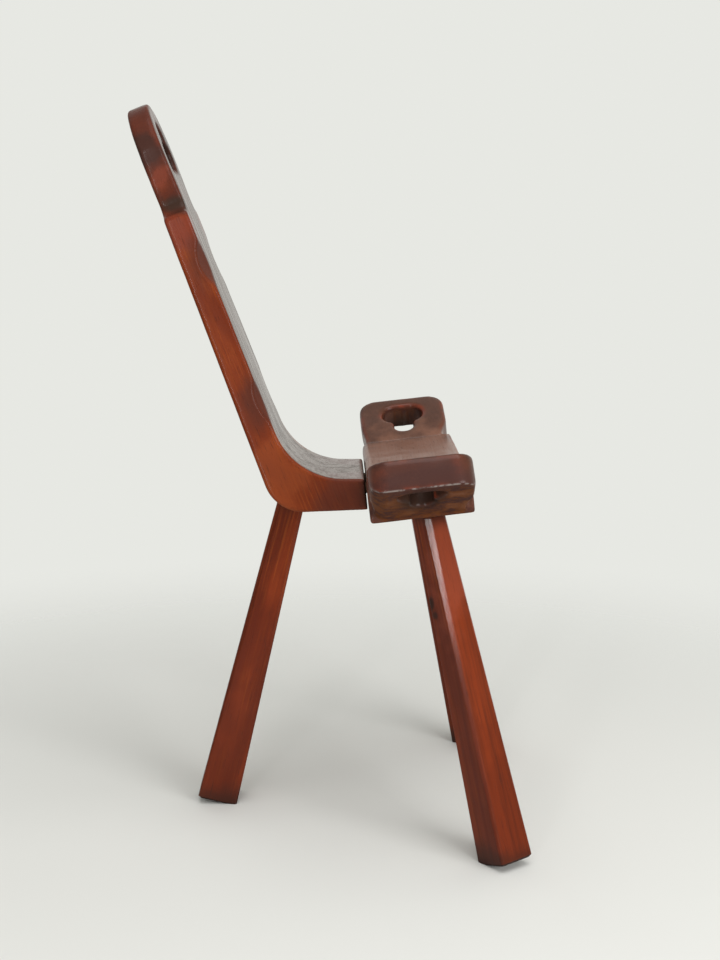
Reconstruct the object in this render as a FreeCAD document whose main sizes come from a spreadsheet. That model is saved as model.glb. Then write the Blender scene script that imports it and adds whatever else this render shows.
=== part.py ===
import FreeCAD, Part
import os
import Sketcher

# Three-legged chair: it faces +X, stands on the floor at Z = 0 and is the same left and right of Y = 0.

# Driving sizes in millimetres and degrees.
SIZES = {
    # Joint between the back plank and the seat yoke
    "joint_x": (43.8, "joint, from the origin forward, at half height"),
    "joint_z": (378.0, "joint, half height above the floor"),
    "joint_gap": (0.8, "open line between plank end and yoke"),
    "fit_gap": (0.3, "clearance round tenons, dowels and the bend's scribed shoulder"),
    "end_gap": (1.0, "empty depth past the end of a tenon or dowel"),
    # Back plank, seen from the side
    "seat_top_z": (395.0, "top of the seat behind the joint"),
    "seat_end_deep": (35.0, "plank thickness at the joint"),
    "seat_belly": (2.2, "slope of the seat's underside"),
    "plank_half": (72.0, "half width of the seat part"),
    "back_corner_x": (-36.1, "where the back's front face would meet the seat top"),
    "back_lean": (21.25, "lean of the back's front face"),
    "back_top_z": (801.0, "top of the head"),
    "back_low_deep": (32.7, "back thickness at the bend"),
    "head_deep": (25.2, "back thickness at the head"),
    "bend_inner_r": (80.0, "inside radius of the bend"),
    "bend_outer_r": (45.0, "outside radius of the bend"),
    "plank_edge_r": (3.0, "softened edges of the plank"),
    # Back plank, seen from the front: distances down from the head's top
    "head_half": (53.0, "half width of the head"),
    "neck_half": (46.0, "half width of the neck"),
    "neck_drop": (106.0, "narrowest place of the neck"),
    "cove_half": (57.2, "half width where the cove ends"),
    "cove_drop": (122.5, "where the cove ends"),
    "shoulder_half": (61.2, "half width at the shoulder"),
    "shoulder_drop": (126.9, "where the shoulder turns into the side"),
    "head_hole_drop": (55.0, "centre of the head's trefoil"),
    # Trefoil holes, each three overlapping bores
    "head_lobe_r": (16.0, "radius of each bore in the head"),
    "head_lobe_out": (15.0, "bore centre from the middle of the head's trefoil"),
    "pair_r": (17.0, "radius of a wing's two wide bores"),
    "pair_side": (8.0, "wide bores from the wing's middle"),
    "pair_at": (58.0, "wide bores from the crease"),
    "stem_r": (12.0, "radius of a wing's narrow bore"),
    "stem_at": (32.5, "narrow bore from the crease"),
    "cusp_r": (4.5, "worn points between the bores"),
    "rim_r": (3.5, "worn rims of the trefoils"),
    # Carved scallops on the back's front edges
    "scallop_up_drop": (155.0, "top of the upper scallop below the head's top"),
    "scallop_up_long": (71.0, "length of the upper scallop"),
    "scallop_up_side": (8.5, "upper scallop, depth in the side"),
    "scallop_up_face": (17.0, "upper scallop, reach into the front face"),
    "scallop_up_r": (50.0, "upper scallop, radius of the hollow"),
    "scallop_low_drop": (315.0, "top of the lower scallop"),
    "scallop_low_long": (69.0, "length of the lower scallop"),
    "scallop_low_side": (7.0, "lower scallop, depth in the side"),
    "scallop_low_face": (12.0, "lower scallop, reach into the front face"),
    "scallop_low_r": (60.0, "lower scallop, radius of the hollow"),
    "scallop_tail_r": (60.0, "radius of both scallops' run-out"),
    # Seat yoke
    "seat_tilt": (6.5, "front of the yoke higher than its rear"),
    "yoke_deep": (111.0, "yoke from rear to front"),
    "yoke_thick": (39.0, "yoke thickness"),
    "yoke_drop": (16.9, "yoke's underside below the joint's half height"),
    "yoke_half": (157.0, "half length of the flat middle"),
    "crease_in": (5.0, "crease of each wing inside the flat middle's end"),
    "yoke_front_r": (3.0, "rounded upper front edge"),
    "yoke_rear_r": (9.0, "rounded upper rear edge"),
    "wing_rise": (26.0, "slope of the wings"),
    "wing_long": (93.9, "wing from the crease to its tip"),
    "wing_tip_r": (21.0, "wing tip corners seen from above"),
    "wing_thick": (34.0, "thickness of the wing"),
    "belly_front_r": (7.0, "rounded lower front edge of the wing"),
    "belly_rear_r": (18.0, "rounded lower rear edge of the wing"),
    "wing_trim": (0.6, "wood shaved off the wing's sides"),
    "neck_inset": (18.0, "how far the wing's root runs into the flat middle"),
    "waist_front": (46.0, "wing's narrow root, from the middle to its front side"),
    "waist_rear": (50.5, "wing's narrow root, from the middle to its rear side"),
    "waist_long": (6.0, "straight stretch of the root past the crease"),
    "flare_long": (36.0, "length over which the root widens into the palm"),
    "palm_front": (54.0, "wing's wide end, from the middle to its front side"),
    "palm_rear": (54.0, "wing's wide end, from the middle to its rear side"),
    "wing_edge_r": (4.0, "upper edges of the wing"),
    # Dowels in the seat joint
    "dowel_r": (6.0, "dowel radius"),
    "dowel_side": (32.0, "dowel from the middle"),
    "dowel_half": (26.0, "dowel length on each side of the joint"),
    # Legs
    "rear_top_wide": (30.3, "rear leg across its flats under the seat"),
    "rear_foot_wide": (46.0, "rear leg across its flats at the foot"),
    "front_top_wide": (28.1, "front leg across its flats under the seat"),
    "front_foot_wide": (42.2, "front leg across its flats at the foot"),
    "leg_top_chamfer": (5.0, "planed-off leg corners under the seat"),
    "leg_foot_chamfer": (1.6, "planed-off leg corners at the foot"),
    "leg_above": (30.0, "leg blank past the seat's underside before its shoulder is cut"),
    "foot_bevel": (2.5, "planed-off edge round the foot"),
    "tenon_r": (11.0, "tenon radius"),
    "tenon_long": (24.0, "tenon past the underside"),
    "tenon_root": (10.0, "tenon's start inside the leg"),
    "front_ahead": (7.7, "front leg ahead of the yoke's middle"),
    "front_inset": (49.0, "front leg inside the end of the flat middle"),
    "front_splay": (14.13, "lean of the front legs from the yoke's square"),
    "front_aim": (65.5, "direction of that lean, outward from straight ahead"),
    "front_twist": (-10.9, "turn of the front legs about their own axis"),
    "front_foot_rise": (3.0, "middle of the front foot's cut above the floor"),
    "rear_x": (-39.9, "rear leg's axis at its datum height"),
    "rear_z": (362.0, "rear leg's datum height"),
    "rear_splay": (14.1, "backward lean of the rear leg"),
    "rear_foot_rise": (2.6, "middle of the rear foot's cut above the floor"),
    # Cutting allowance
    "spare": (12.0, "how far cutting outlines pass the wood"),
    "through": (240.0, "length of cuts that go right through"),
}

# How close a picked edge or face lies to its nominal place, in millimetres.
NEAR = 1.0
FLUSH = 0.01
EXACT = 1e-6
# Where a scallop's hollow turns into its run-out, as shares of its length and depth.
TAIL_ALONG = 0.2
TAIL_DEEP = 0.4
# Places on a face where its normals are looked at, as shares of its width and length.
FACE_SHARES = (0.1, 0.5, 0.9)

# Places that follow from the sizes above.
DERIVED = {
    "back_run": "(back_top_z - seat_top_z) / cos(back_lean)",
    "head_x": "back_corner_x - back_run * sin(back_lean)",
    "flank_drop": "neck_drop - head_half",
    "flank_in": "head_half - neck_half",
    "flank_r": "(flank_drop ^ 2 + flank_in ^ 2) / (2 * flank_in)",
    "cove_in": "cove_half - neck_half",
    "cove_fall": "cove_drop - neck_drop",
    "cove_chord": "sqrt(cove_in ^ 2 + cove_fall ^ 2)",
    "cove_r": "cove_chord / 2 / sin(atan(cove_in / cove_fall) + asin(flank_drop / flank_r))",
    "shoulder_in": "shoulder_half - cove_half",
    "shoulder_fall": "shoulder_drop - cove_drop",
    "side_angle": "atan((plank_half - shoulder_half) / (back_run - shoulder_drop))",
    "shoulder_chord": "sqrt(shoulder_in ^ 2 + shoulder_fall ^ 2)",
    "shoulder_r": "shoulder_chord / 2 / sin(atan(shoulder_in / shoulder_fall) - side_angle)",
    "end_top_x": "joint_x - joint_gap / 2 - (seat_top_z - joint_z) * tan(seat_tilt)",
    "end_low_z": "seat_top_z - seat_end_deep",
    "end_low_x": "joint_x - joint_gap / 2 - (end_low_z - joint_z) * tan(seat_tilt)",
    "blank_run": "back_run + spare",
    "blank_front_x": "back_corner_x - blank_run * sin(back_lean)",
    "blank_front_z": "seat_top_z + blank_run * cos(back_lean)",
    "blank_rear_x": "blank_front_x - head_deep * cos(back_lean)",
    "blank_rear_z": "blank_front_z - head_deep * sin(back_lean)",
    "low_rear_x": "back_corner_x - back_low_deep * cos(back_lean)",
    "low_rear_z": "seat_top_z - back_low_deep * sin(back_lean)",
    "rear_slope": "(blank_rear_x - low_rear_x) / (blank_rear_z - low_rear_z)",
    "belly_slope": "tan(seat_belly)",
    "heel_x": "(low_rear_x + rear_slope * (end_low_z - low_rear_z - end_low_x * belly_slope))"
              " / (1 - rear_slope * belly_slope)",
    "heel_z": "end_low_z + (heel_x - end_low_x) * belly_slope",
    "heel_open": "90 deg - atan(rear_slope) - atan(belly_slope)",
    "heel_reach": "bend_outer_r / tan(heel_open / 2)",
    "bend_x": "heel_x + heel_reach * cos(seat_belly) - bend_outer_r * sin(seat_belly)",
    "bend_z": "heel_z + heel_reach * sin(seat_belly) + bend_outer_r * cos(seat_belly)",
    "flare_front_in": "palm_front - waist_front",
    "flare_front_r": "(flare_front_in ^ 2 + flare_long ^ 2) / (4 * flare_front_in)",
    "flare_rear_in": "palm_rear - waist_rear",
    "flare_rear_r": "(flare_rear_in ^ 2 + flare_long ^ 2) / (4 * flare_rear_in)",
    "flare_middle": "waist_long + flare_long / 2",
    "flare_end": "waist_long + flare_long",
    "front_fall": "cos(front_splay) * cos(seat_tilt) - sin(front_splay) * cos(front_aim) * sin(seat_tilt)",
    "yoke_z": "joint_z + (yoke_deep + joint_gap) / 2 * sin(seat_tilt) - yoke_drop * cos(seat_tilt)",
    "front_side": "yoke_half - front_inset",
    "front_z": "yoke_z + front_ahead * sin(seat_tilt)",
    "front_long": "(front_z - front_foot_rise) / front_fall",
    "rear_long": "(rear_z - rear_foot_rise) / cos(rear_splay)",
}

SHEET = "Sizes"
doc = FreeCAD.newDocument("chair")


def write_sizes():
    """Fill the sheet with the driving sizes and the places derived from them."""
    sheet = doc.addObject("Spreadsheet::Sheet", SHEET)
    row = 1
    for alias, (value, meaning) in SIZES.items():
        sheet.set(f"A{row}", meaning)
        sheet.set(f"B{row}", str(value))
        sheet.setAlias(f"B{row}", alias)
        row += 1
    doc.recompute()
    for alias, formula in DERIVED.items():
        sheet.set(f"A{row}", alias.replace("_", " "))
        sheet.set(f"B{row}", "=" + formula)
        sheet.setAlias(f"B{row}", alias)
        row += 1
        doc.recompute()
    return sheet


def bound(text):
    """Turn size names in a formula into references to the sheet."""
    words = []
    word = ""
    for letter in text + " ":
        if letter.isalnum() or letter == "_":
            word += letter
            continue
        known = word in SIZES or word in DERIVED
        words.append(f"{SHEET}.{word}" if known else word)
        words.append(letter)
        word = ""
    return "".join(words).strip()


def number(item, text):
    """Value of a formula of size names."""
    return float(item.evalExpression(bound(text)))


def turn(axis, angle):
    """Formula of a rotation about one axis."""
    vector = {"x": "vector(1; 0; 0)", "y": "vector(0; 1; 0)", "z": "vector(0; 0; 1)"}[axis]
    return f"rotation({vector}; {angle})"


def place(across="0", along="0", up="0", rotation=None):
    """Formula of a placement."""
    return f"placement(vector({across}; {along}; {up}); {rotation or turn('z', '0')})"


def new_body(label, placement=None):
    """Empty body, placed by a formula."""
    body = doc.addObject("PartDesign::Body", label)
    body.Label = label
    if placement:
        body.setExpression("Placement", bound(placement))
    return body


def new_sketch(body, label, plane, offset=None):
    """Sketch on one of the body's own origin planes, moved by a formula."""
    sketch = body.newObject("Sketcher::SketchObject", label)
    support = [item for item in body.Origin.OriginFeatures if item.Role == plane][0]
    sketch.AttachmentSupport = [(support, "")]
    sketch.MapMode = "FlatFace"
    if offset:
        sketch.setExpression("AttachmentOffset", bound(offset))
    return sketch


def tie(sketch, kind, where, text):
    """Dimension in a sketch that follows a formula."""
    index = sketch.addConstraint(Sketcher.Constraint(kind, *where, number(sketch, text)))
    name = f"{kind}{index}"
    sketch.renameConstraint(index, name)
    sketch.setExpression(f"Constraints.{name}", bound(text))


def draw_loop(sketch, corners):
    """Closed outline through corners (across, up, edge): edge is None for a line to the next corner,
    or (radius, side) for an arc, side +1 bulging to the right of the way and -1 to the left."""
    spots = [FreeCAD.Vector(number(sketch, across), number(sketch, up), 0) for across, up, edge in corners]
    count = len(corners)
    ends = []
    for index, (across, up, edge) in enumerate(corners):
        start = spots[index]
        stop = spots[(index + 1) % count]
        if edge is None:
            item = sketch.addGeometry(Part.LineSegment(start, stop), False)
            ends.append((item, 1, 2))
            continue
        radius, side = number(sketch, edge[0]), edge[1]
        way = stop - start
        half = way.Length / 2
        rise = radius - (radius ** 2 - half ** 2) ** 0.5
        bulge = FreeCAD.Vector(way.y, -way.x, 0).normalize() * rise * side
        arc = Part.Arc(start, start + way / 2 + bulge, stop)
        item = sketch.addGeometry(arc, False)
        ends.append((item, 1, 2) if side > 0 else (item, 2, 1))
    for index in range(count):
        item, first, last = ends[index]
        follower, follower_first, _ = ends[(index + 1) % count]
        sketch.addConstraint(Sketcher.Constraint("Coincident", item, last, follower, follower_first))
    for (item, first, _), (across, up, edge) in zip(ends, corners):
        tie(sketch, "DistanceX", (-1, 1, item, first), across)
        tie(sketch, "DistanceY", (-1, 1, item, first), up)
        if edge is not None:
            tie(sketch, "Radius", (item,), edge[0])


def draw_circle(sketch, across, up, radius):
    """Circle with its middle and radius tied to sizes."""
    middle = FreeCAD.Vector(number(sketch, across), number(sketch, up), 0)
    item = sketch.addGeometry(Part.Circle(middle, FreeCAD.Vector(0, 0, 1), number(sketch, radius)), False)
    tie(sketch, "DistanceX", (-1, 1, item, 3), across)
    tie(sketch, "DistanceY", (-1, 1, item, 3), up)
    tie(sketch, "Radius", (item,), radius)


def draw_box(sketch, left, right, low, high):
    """Rectangle between four formulas."""
    draw_loop(sketch, [(left, low, None), (right, low, None), (right, high, None), (left, high, None)])


def extrude(body, kind, sketch, length, side="One side", reverse=False):
    """Pad or pocket of a sketch."""
    feature = body.newObject(f"PartDesign::{kind}", f"{sketch.Name}_{kind.lower()}")
    feature.Profile = sketch
    feature.SideType = side
    feature.Reversed = reverse
    feature.setExpression("Length", bound(length))
    doc.recompute()
    return feature


def round_edges(body, label, edges, radius):
    """Fillet the listed edges of the body's last feature."""
    base = body.Tip
    fillet = body.newObject("PartDesign::Fillet", label)
    fillet.Base = (base, edges)
    fillet.setExpression("Radius", bound(radius))
    doc.recompute()
    return fillet


def edges_where(body, test):
    """Names of the last feature's edges whose two faces pass a test (edge, faces)."""
    shape = body.Tip.Shape
    names = []
    for index, edge in enumerate(shape.Edges, 1):
        faces = shape.ancestorsOfType(edge, Part.Face)
        if len(faces) == 2 and test(edge, faces):
            names.append(f"Edge{index}")
    return names


def is_round(face, radius):
    """True for a cylinder of one radius."""
    return face.Surface.TypeId == "Part::GeomCylinder" and abs(face.Surface.Radius - radius) < EXACT


def drill_trefoil(body, label, plane, offset, bores):
    """Three overlapping bores (across, along, radius) with worn points between them."""
    for index, (across, along, radius) in enumerate(bores):
        sketch = new_sketch(body, f"{label}_{index}", plane, offset)
        draw_circle(sketch, across, along, radius)
        extrude(body, "Pocket", sketch, "through", "Symmetric")
    radii = {number(sheet, radius) for across, along, radius in bores}

    def is_bore(face):
        return any(is_round(face, radius) for radius in radii)

    cusps = edges_where(body, lambda edge, faces: all(is_bore(face) for face in faces))
    round_edges(body, f"{label}_cusps", cusps, "cusp_r")


# Frame of the back's front face: across, up the back, out of the face; it starts at the head's top.
BACK_FACE = place("0", "back_top_z", "head_x", turn("x", "-back_lean"))


def carve_scallop(body, label, name):
    """Hollow carved across the right front edge of the back, deepest near its upper end."""
    middle = f"-({name}_drop + {name}_long / 2)"
    half = f"(shoulder_half + (plank_half - shoulder_half) * ({name}_drop - shoulder_drop)"
    half += " / (back_run - shoulder_drop))"
    lay = f"{turn('z', '90')} * {turn('x', f'atan2({name}_face; {name}_side)')}"
    sketch = new_sketch(body, label, "YZ_Plane", f"{BACK_FACE} * {place('-' + half, middle, '0', lay)}")
    depth = f"{name}_side * {name}_face / sqrt({name}_side ^ 2 + {name}_face ^ 2)"
    draw_loop(sketch, [
        (f"{name}_long / 2", "0", (f"{name}_r", -1)),
        (f"-{name}_long * {TAIL_ALONG}", f"-{depth} * {TAIL_DEEP}", ("scallop_tail_r", 1)),
        (f"-{name}_long / 2", "0", None),
        (f"-{name}_long / 2", "spare", None),
        (f"{name}_long / 2", "spare", None),
    ])
    return extrude(body, "Pocket", sketch, "through", "Symmetric")


def is_flat_across(face):
    """True for a face whose normals have no sideways part."""
    low_u, high_u, low_v, high_v = face.ParameterRange
    normals = [
        face.normalAt(low_u + (high_u - low_u) * first, low_v + (high_v - low_v) * second)
        for first in FACE_SHARES
        for second in FACE_SHARES
    ]
    return all(abs(normal.y) < EXACT for normal in normals)


def build_plank():
    """Back plank: an angled blank, rounded bend, head outline, trefoil, soft edges, scallops, sockets."""
    body = new_body("back_plank")
    side = new_sketch(body, "plank_side", "XZ_Plane")
    draw_loop(side, [
        ("end_top_x", "seat_top_z", None),
        ("back_corner_x", "seat_top_z", None),
        ("blank_front_x", "blank_front_z", None),
        ("blank_rear_x", "blank_rear_z", None),
        ("heel_x", "heel_z", None),
        ("end_low_x", "end_low_z", None),
    ])
    extrude(body, "Pad", side, "plank_half * 2", "Symmetric")

    def corner_at(across, up):
        spot = FreeCAD.Vector(number(sheet, across), 0, number(sheet, up))
        return edges_where(body, lambda edge, faces: (edge.CenterOfMass - spot).Length < NEAR)

    round_edges(body, "bend_inner", corner_at("back_corner_x", "seat_top_z"), "bend_inner_r")
    round_edges(body, "bend_outer", corner_at("heel_x", "heel_z"), "bend_outer_r")

    outline = new_sketch(body, "head_outline", "YZ_Plane", BACK_FACE)
    draw_loop(outline, [
        ("plank_half", "-back_run", None),
        ("shoulder_half", "-shoulder_drop", ("shoulder_r", 1)),
        ("cove_half", "-cove_drop", ("cove_r", -1)),
        ("neck_half", "-neck_drop", ("flank_r", 1)),
        ("head_half", "-head_half", ("head_half", 1)),
        ("0", "0", ("head_half", 1)),
        ("-head_half", "-head_half", ("flank_r", 1)),
        ("-neck_half", "-neck_drop", ("cove_r", -1)),
        ("-cove_half", "-cove_drop", ("shoulder_r", 1)),
        ("-shoulder_half", "-shoulder_drop", None),
        ("-plank_half", "-back_run", None),
        ("-plank_half - spare", "-back_run", None),
        ("-plank_half - spare", "spare * 2", None),
        ("plank_half + spare", "spare * 2", None),
        ("plank_half + spare", "-back_run", None),
    ])
    extrude(body, "Pocket", outline, "through", "Symmetric")

    trefoil_at = f"{BACK_FACE} * {place('0', '-head_hole_drop', '0')}"
    drill_trefoil(body, "head_trefoil", "YZ_Plane", trefoil_at, [
        ("0", "head_lobe_out", "head_lobe_r"),
        ("head_lobe_out * cos(30)", "head_lobe_out * -sin(30)", "head_lobe_r"),
        ("head_lobe_out * -cos(30)", "head_lobe_out * -sin(30)", "head_lobe_r"),
    ])

    lean = number(sheet, "back_lean")
    up_back = FreeCAD.Rotation(FreeCAD.Vector(0, 1, 0), -lean).multVec(FreeCAD.Vector(0, 0, 1))
    middle = FreeCAD.Vector(number(sheet, "head_x"), 0, number(sheet, "back_top_z"))
    middle -= up_back * number(sheet, "head_hole_drop")
    reach = number(sheet, "head_lobe_out + head_lobe_r") + 1

    def in_trefoil(edge):
        way = edge.CenterOfMass - middle
        return abs(way.y) < reach and abs(way.dot(up_back)) < reach and edge.Length < reach * 3

    def on_rim(edge, faces):
        return sum(is_flat_across(face) for face in faces) == 1

    end_x = number(sheet, "end_top_x")
    rims = edges_where(body, lambda edge, faces: on_rim(edge, faces) and in_trefoil(edge))
    round_edges(body, "head_rims", rims, "rim_r")
    outer = edges_where(
        body,
        lambda edge, faces: on_rim(edge, faces) and not in_trefoil(edge) and edge.CenterOfMass.x < end_x,
    )
    round_edges(body, "plank_edges", outer, "plank_edge_r")

    scallops = [carve_scallop(body, name, name) for name in ("scallop_up", "scallop_low")]
    mirror(body, "scallops_left", scallops)

    joint_at = place("0", "joint_z", "joint_x", turn("x", "-seat_tilt"))
    dowel_holes = new_sketch(body, "plank_dowel_holes", "YZ_Plane", joint_at)
    for sign in ("", "-"):
        draw_circle(dowel_holes, f"{sign}dowel_side", "0", "dowel_r + fit_gap")
    extrude(body, "Pocket", dowel_holes, "dowel_half + end_gap")

    socket = new_sketch(body, "plank_socket", "XY_Plane", f"{REAR_LEG} * {place('0', '0', '-spare')}")
    draw_circle(socket, "0", "0", "tenon_r + fit_gap")
    extrude(body, "Pocket", socket, "tenon_long + end_gap + spare", reverse=True)
    return body


def draw_wing_section(body, frame):
    """Cross-section of the right wing: flat top, upright sides, boat-shaped underside."""
    sketch = new_sketch(body, "wing_section", "XZ_Plane", f"{frame} * {place('0', '0', '-neck_inset')}")
    front = "(palm_front + wing_trim)"
    rear = "(palm_rear + wing_trim)"
    draw_loop(sketch, [
        (front, "0", None),
        (f"-{rear}", "0", None),
        (f"-{rear}", "-wing_thick + belly_rear_r", ("belly_rear_r", 1)),
        (f"-{rear} + belly_rear_r", "-wing_thick", None),
        (f"{front} - belly_front_r", "-wing_thick", ("belly_front_r", 1)),
        (front, "-wing_thick + belly_front_r", None),
    ])
    return sketch


def draw_wing_waste(body, plan):
    """Waste round the wing's outline seen from above: narrow root, flared sides, round tip corners."""
    sketch = new_sketch(body, "wing_outline", "XZ_Plane", plan)
    root = "-neck_inset - yoke_thick"
    beyond = "wing_long + spare * 2"
    draw_loop(sketch, [
        ("waist_front", root, None),
        ("waist_front", "waist_long", ("flare_front_r", -1)),
        ("waist_front + flare_front_in / 2", "flare_middle", ("flare_front_r", 1)),
        ("palm_front", "flare_end", None),
        ("palm_front", "wing_long - wing_tip_r", ("wing_tip_r", 1)),
        ("palm_front - wing_tip_r", "wing_long", None),
        ("-palm_rear + wing_tip_r", "wing_long", ("wing_tip_r", 1)),
        ("-palm_rear", "wing_long - wing_tip_r", None),
        ("-palm_rear", "flare_end", ("flare_rear_r", 1)),
        ("-waist_rear - flare_rear_in / 2", "flare_middle", ("flare_rear_r", -1)),
        ("-waist_rear", "waist_long", None),
        ("-waist_rear", root, None),
        ("-palm_rear - spare", root, None),
        ("-palm_rear - spare", beyond, None),
        ("palm_front + spare", beyond, None),
        ("palm_front + spare", root, None),
    ])
    return sketch


def front_leg(side):
    """Placement of a front leg in the yoke's frame; side is -1 for right and +1 for left."""
    lean = f"{turn('z', f'{-side} * (180 - front_aim)')} * {turn('y', 'front_splay')}"
    return place("front_ahead", f"{side} * front_side", "0", f"{lean} * {turn('z', f'{side} * front_twist')}")


def build_yoke():
    """Seat yoke: the right wing with its trefoil and worn edges, the flat block, then the left half."""
    body = new_body("seat_yoke", YOKE)
    wing_frame = place("0", "yoke_thick", "yoke_half - crease_in", turn("x", "-wing_rise"))
    wing_plan = f"{wing_frame} * {place(rotation=turn('x', '90'))}"
    extrude(body, "Pad", draw_wing_section(body, wing_frame), "neck_inset + wing_long + spare")
    extrude(body, "Pocket", draw_wing_waste(body, wing_plan), "through", "Symmetric")
    drill_trefoil(body, "wing_trefoil", "XZ_Plane", wing_plan, [
        ("pair_side", "pair_at", "pair_r"),
        ("-pair_side", "pair_at", "pair_r"),
        ("0", "stem_at", "stem_r"),
    ])

    rise = number(sheet, "wing_rise")
    tilt = FreeCAD.Rotation(FreeCAD.Vector(1, 0, 0), -rise)
    along = tilt.multVec(FreeCAD.Vector(0, -1, 0))
    normal = tilt.multVec(FreeCAD.Vector(0, 0, 1))
    crease = FreeCAD.Vector(0, -number(sheet, "yoke_half - crease_in"), number(sheet, "yoke_thick"))
    hole_half = number(sheet, "pair_side + pair_r") + 1
    hole_start = number(sheet, "stem_at - stem_r") - 1
    hole_stop = number(sheet, "pair_at + pair_r") + 1

    def heights(edge):
        return [(spot - crease).dot(normal) for spot in edge.discretize(7)]

    def in_hole(edge):
        way = edge.CenterOfMass - crease
        return abs(way.x) < hole_half and hole_start < way.dot(along) < hole_stop

    def level(edge, spread):
        return max(heights(edge)) - min(heights(edge)) < spread

    half_thick = number(sheet, "wing_thick") / 2

    def on_rim(edge, above):
        return in_hole(edge) and level(edge, 4) and (max(heights(edge)) > -half_thick) == above

    for label, above in (("wing_rims", True), ("wing_under_rims", False)):
        rims = edges_where(body, lambda edge, faces: on_rim(edge, above))
        round_edges(body, label, rims, "rim_r")
    upper = edges_where(
        body,
        lambda edge, faces: not in_hole(edge)
        and max(abs(height) for height in heights(edge)) < FLUSH
        and (edge.CenterOfMass - crease).dot(along) > NEAR,
    )
    round_edges(body, "wing_edges", upper, "wing_edge_r")

    block = new_sketch(body, "yoke_block", "XZ_Plane")
    draw_loop(block, [
        ("-yoke_deep / 2", "0", None),
        ("yoke_deep / 2", "0", None),
        ("yoke_deep / 2", "yoke_thick - yoke_front_r", ("yoke_front_r", 1)),
        ("yoke_deep / 2 - yoke_front_r", "yoke_thick", None),
        ("-yoke_deep / 2 + yoke_rear_r", "yoke_thick", ("yoke_rear_r", 1)),
        ("-yoke_deep / 2", "yoke_thick - yoke_rear_r", None),
    ])
    extrude(body, "Pad", block, "yoke_half")

    holes = new_sketch(body, "yoke_dowel_hole", "YZ_Plane", place("0", "0", "-yoke_deep / 2"))
    draw_circle(holes, "-dowel_side", "yoke_drop", "dowel_r + fit_gap")
    extrude(body, "Pocket", holes, "dowel_half + end_gap", reverse=True)
    socket = new_sketch(body, "yoke_socket", "XY_Plane", f"{front_leg(-1)} * {place('0', '0', '-spare')}")
    draw_circle(socket, "0", "0", "tenon_r + fit_gap")
    extrude(body, "Pocket", socket, "tenon_long + end_gap + spare", reverse=True)

    whole = mirror(body, "yoke_left", [])
    whole.TransformMode = "Whole shape"
    doc.recompute()
    return body


def mirror(body, label, features):
    """Repeat features on the other side of the middle plane."""
    copy = body.newObject("PartDesign::Mirrored", label)
    copy.Originals = features
    plane = [item for item in body.Origin.OriginFeatures if item.Role == "XZ_Plane"][0]
    copy.MirrorPlane = (plane, [""])
    body.Tip = copy
    doc.recompute()
    return copy


def draw_leg_section(body, label, at, wide, chamfer):
    """Square cross-section of a leg with planed-off corners."""
    sketch = new_sketch(body, f"{body.Name}_{label}", "XY_Plane", place("0", "0", at))
    half = f"({wide} / 2)"
    flat = f"({wide} / 2 - {chamfer})"
    draw_loop(sketch, [
        (half, f"-{flat}", None),
        (half, flat, None),
        (flat, half, None),
        (f"-{flat}", half, None),
        (f"-{half}", flat, None),
        (f"-{half}", f"-{flat}", None),
        (f"-{flat}", f"-{half}", None),
        (flat, f"-{half}", None),
    ])
    return sketch


def leg_blank(body, kind):
    """Tapered leg, eight-sided above and almost square at the foot, running up past the seat's underside."""
    long = f"{kind}_long"
    foot_wide = f"{kind}_foot_wide"
    above = f"(leg_above / {long})"
    top_wide = f"({kind}_top_wide + ({kind}_top_wide - {foot_wide}) * {above})"
    top_chamfer = f"(leg_top_chamfer + (leg_top_chamfer - leg_foot_chamfer) * {above})"
    sole_wide = f"({foot_wide} - foot_bevel * 2)"
    sole = draw_leg_section(body, "sole", f"-{long}", sole_wide, "leg_foot_chamfer")
    foot = draw_leg_section(body, "foot", f"foot_bevel - {long}", foot_wide, "leg_foot_chamfer")
    top = draw_leg_section(body, "top", "leg_above", top_wide, top_chamfer)
    blank = body.newObject("PartDesign::AdditiveLoft", f"{body.Name}_blank")
    blank.Profile = sole
    blank.Sections = [foot, top]
    blank.Ruled = True
    doc.recompute()


def leg_ends(body, world):
    """Round tenon on top of a leg, and the worn flat that its foot stands on."""
    tenon = new_sketch(body, f"{body.Name}_tenon", "XY_Plane", place("0", "0", "-tenon_root"))
    draw_circle(tenon, "0", "0", "tenon_r")
    extrude(body, "Pad", tenon, "tenon_long + tenon_root")
    floor = new_sketch(body, f"{body.Name}_floor", "XY_Plane", f"minvert({world})")
    draw_box(floor, "-through * 2", "through * 2", "-through * 2", "through * 2")
    extrude(body, "Pocket", floor, "through")


def build_rear_leg():
    """Rear leg, its shoulder scribed to the plank's rounded bend."""
    body = new_body("rear_leg", REAR_LEG)
    leg_blank(body, "rear")
    scribe = new_sketch(body, "rear_leg_scribe", "XZ_Plane", place(rotation=turn("z", "rear_splay")))
    draw_circle(scribe, "bend_x - rear_x", "bend_z - rear_z", "bend_outer_r + fit_gap")
    extrude(body, "Pocket", scribe, "through", "Symmetric")
    leg_ends(body, REAR_LEG)
    return body


def build_front_leg(label, side):
    """Front leg, its shoulder cut to the yoke's flat underside."""
    body = new_body(label, f"{YOKE} * {front_leg(side)}")
    leg_blank(body, "front")
    shoulder = new_sketch(body, f"{label}_shoulder", "XY_Plane", f"minvert({front_leg(side)})")
    draw_box(shoulder, "-through", "through", "-through", "through")
    extrude(body, "Pocket", shoulder, "through", reverse=True)
    leg_ends(body, f"{YOKE} * {front_leg(side)}")
    return body


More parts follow.
